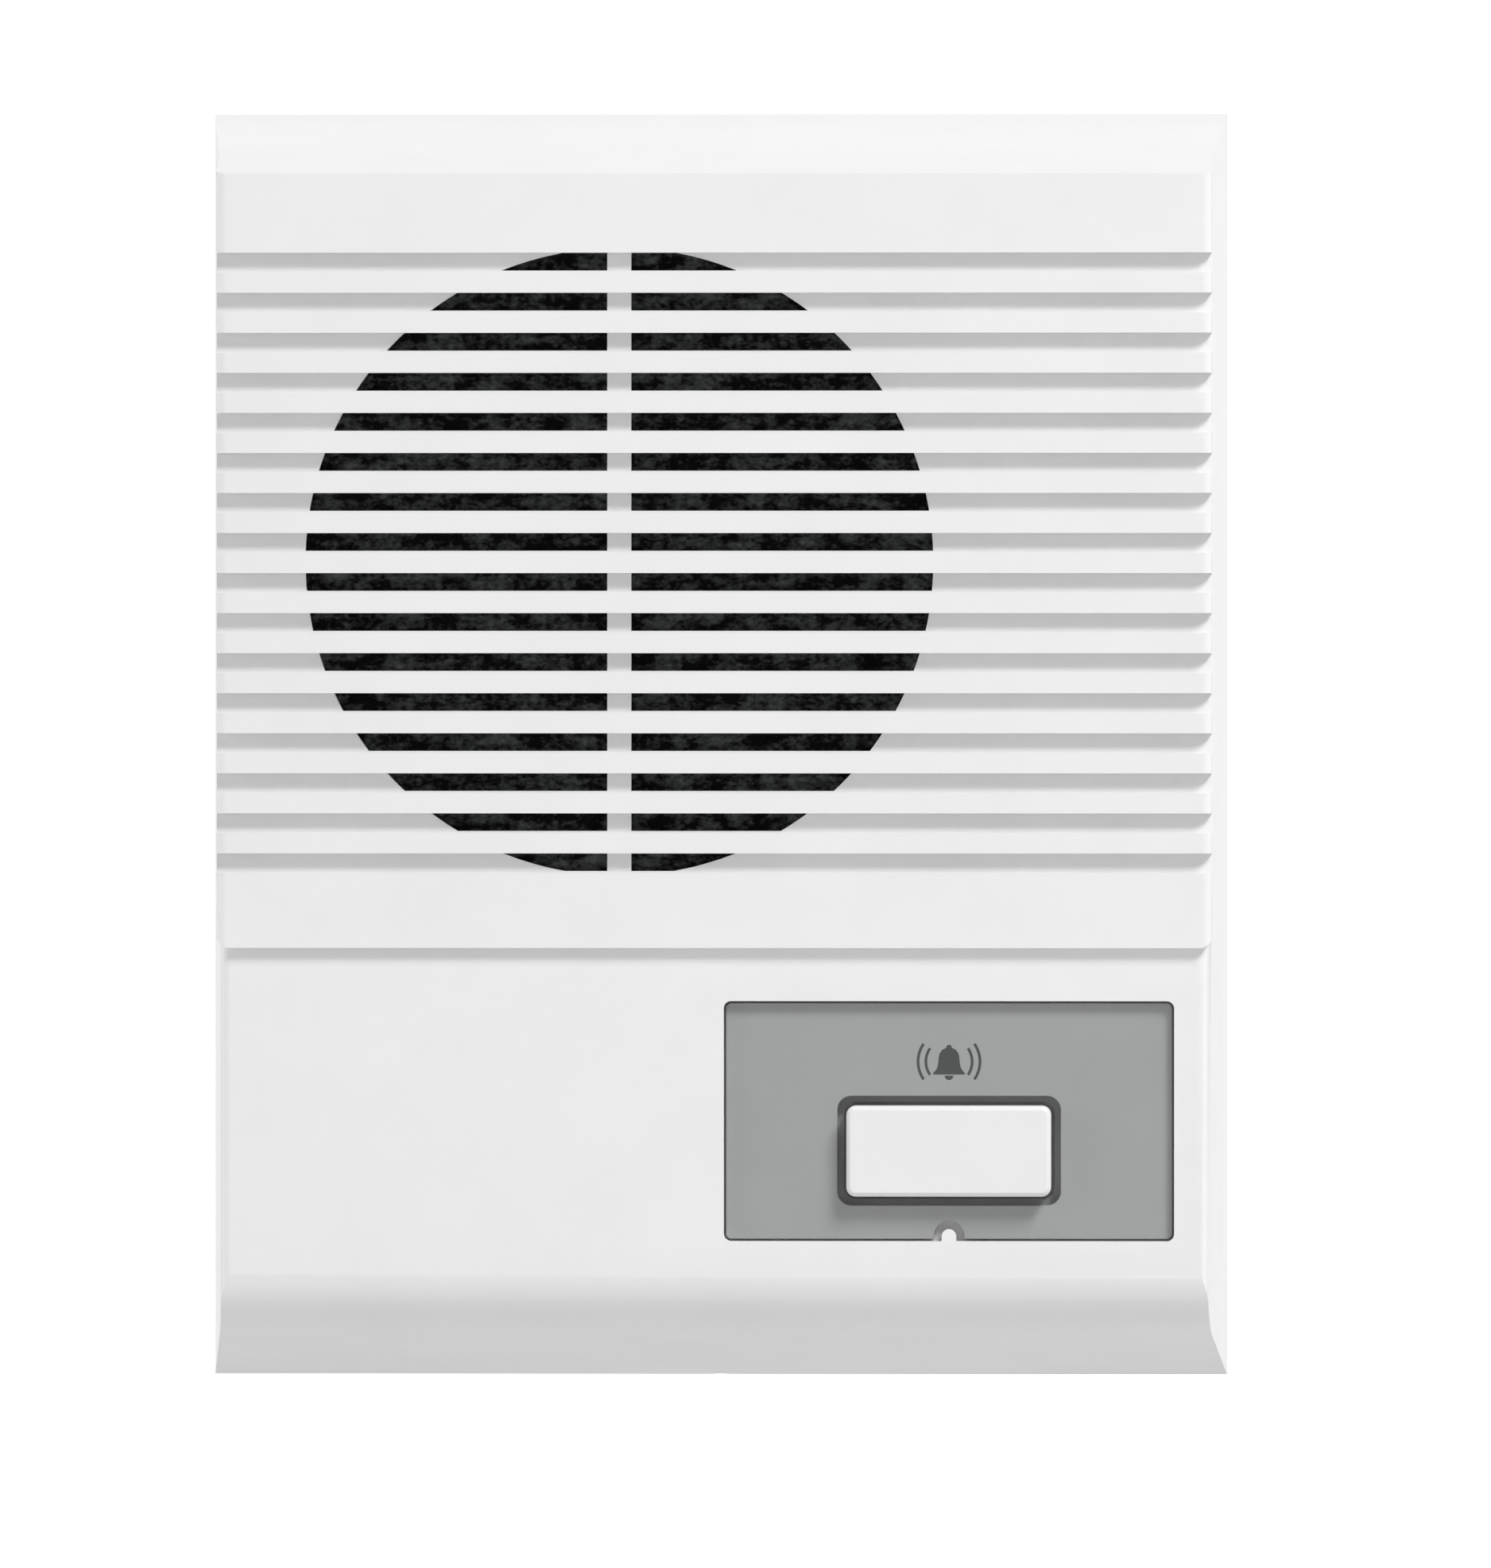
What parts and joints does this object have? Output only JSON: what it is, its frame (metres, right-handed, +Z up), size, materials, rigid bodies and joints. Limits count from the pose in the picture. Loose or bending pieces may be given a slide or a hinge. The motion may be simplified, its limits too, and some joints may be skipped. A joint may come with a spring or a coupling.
{
  "type": "intercom substation",
  "caption": "Wall-mounted indoor intercom substation: louvred moulded cover with a round speaker grille, a grey plate and one push button, on a steel wall bracket.",
  "frame": {"origin": "on the wall plane, midway between the wall bracket's two screw slots", "axes": "+Z up the wall, +Y into the wall, +X to the right as seen from the room; the front faces -Y"},
  "size_m": [0.098, 0.0324, 0.122],
  "materials": {
    "cover_plastic": "fine moulded texture",
    "plate_plastic": "satin, fine texture",
    "button_plastic": "smooth, slightly glossy",
    "chassis_plastic": "moulded",
    "grille_cloth": "open weave",
    "gasket_foam": "closed-cell foam",
    "frame_steel": "zinc plated, pressed",
    "magnet_steel": "zinc plated",
    "ferrite": "sintered, dark grey",
    "cone_paper": "pressed paper",
    "surround_cloth": "treated cloth",
    "spider_cloth": "resin-treated cloth",
    "coil_copper": "enamelled wire",
    "strip_board": "paper laminate",
    "tinned_brass": "tin plated",
    "contact_brass": "bare",
    "screw_steel": "zinc plated",
    "spring_steel": "drawn wire",
    "switch_plastic": "moulded",
    "plunger_plastic": "moulded acetal",
    "board_laminate": "paper laminate",
    "capacitor_sleeve": "shrunk sleeve",
    "resistor_coat": "lacquered",
    "terminal_plastic": "moulded",
    "bracket_steel": "zinc plated sheet",
    "lead_red": "PVC insulation",
    "lead_black": "PVC insulation"
  },
  "bodies": {
    "housing": {"front_cover": "cover_plastic", "face_plate": "plate_plastic", "speaker_cloth": "grille_cloth", "speaker_gasket": "gasket_foam", "speaker_frame": "frame_steel", "top_plate": "magnet_steel", "magnet_ring": "ferrite", "pole_yoke": "magnet_steel", "cone_surround": "surround_cloth", "spider": "spider_cloth", "terminal_strip": "strip_board", "speaker_lugs": "tinned_brass", "speaker_clamps": "frame_steel", "speaker_screws": "screw_steel", "switch_housing": "switch_plastic", "switch_base": "switch_plastic", "fixed_contacts": "tinned_brass", "switch_spring": "spring_steel", "circuit_board": "board_laminate", "board_screws": "screw_steel", "capacitor": "capacitor_sleeve", "resistors": "resistor_coat", "terminal_block": "terminal_plastic", "terminal_plates": "contact_brass", "terminal_clamps": "screw_steel", "terminal_screws": "screw_steel", "rear_chassis": "chassis_plastic", "chassis_screws": "screw_steel", "wall_bracket": "bracket_steel", "lock_screw": "screw_steel", "speaker_lead_red": "lead_red", "speaker_lead_black": "lead_black"},
    "call_button": {"call_button_cap": "button_plastic", "switch_plunger": "plunger_plastic", "moving_contact": "contact_brass"},
    "diaphragm": {"speaker_cone": "cone_paper", "dust_cap": "cone_paper", "voice_coil": "coil_copper"}
  },
  "joints": [
    {"name": "call_button_press", "type": "slide", "parent": "housing", "child": "call_button", "axis": [0, 1, 0], "range_m": [0, 0.0015], "stiffness_N_per_m": 400, "springref_m": -0.002, "deforming": ["switch_spring"]},
    {"name": "cone_travel", "type": "slide", "parent": "housing", "child": "diaphragm", "axis": [0, 1, 0], "range_m": [-0.0005, 0.0005], "stiffness_N_per_m": 1500, "deforming": ["cone_surround", "spider"]}
  ]
}
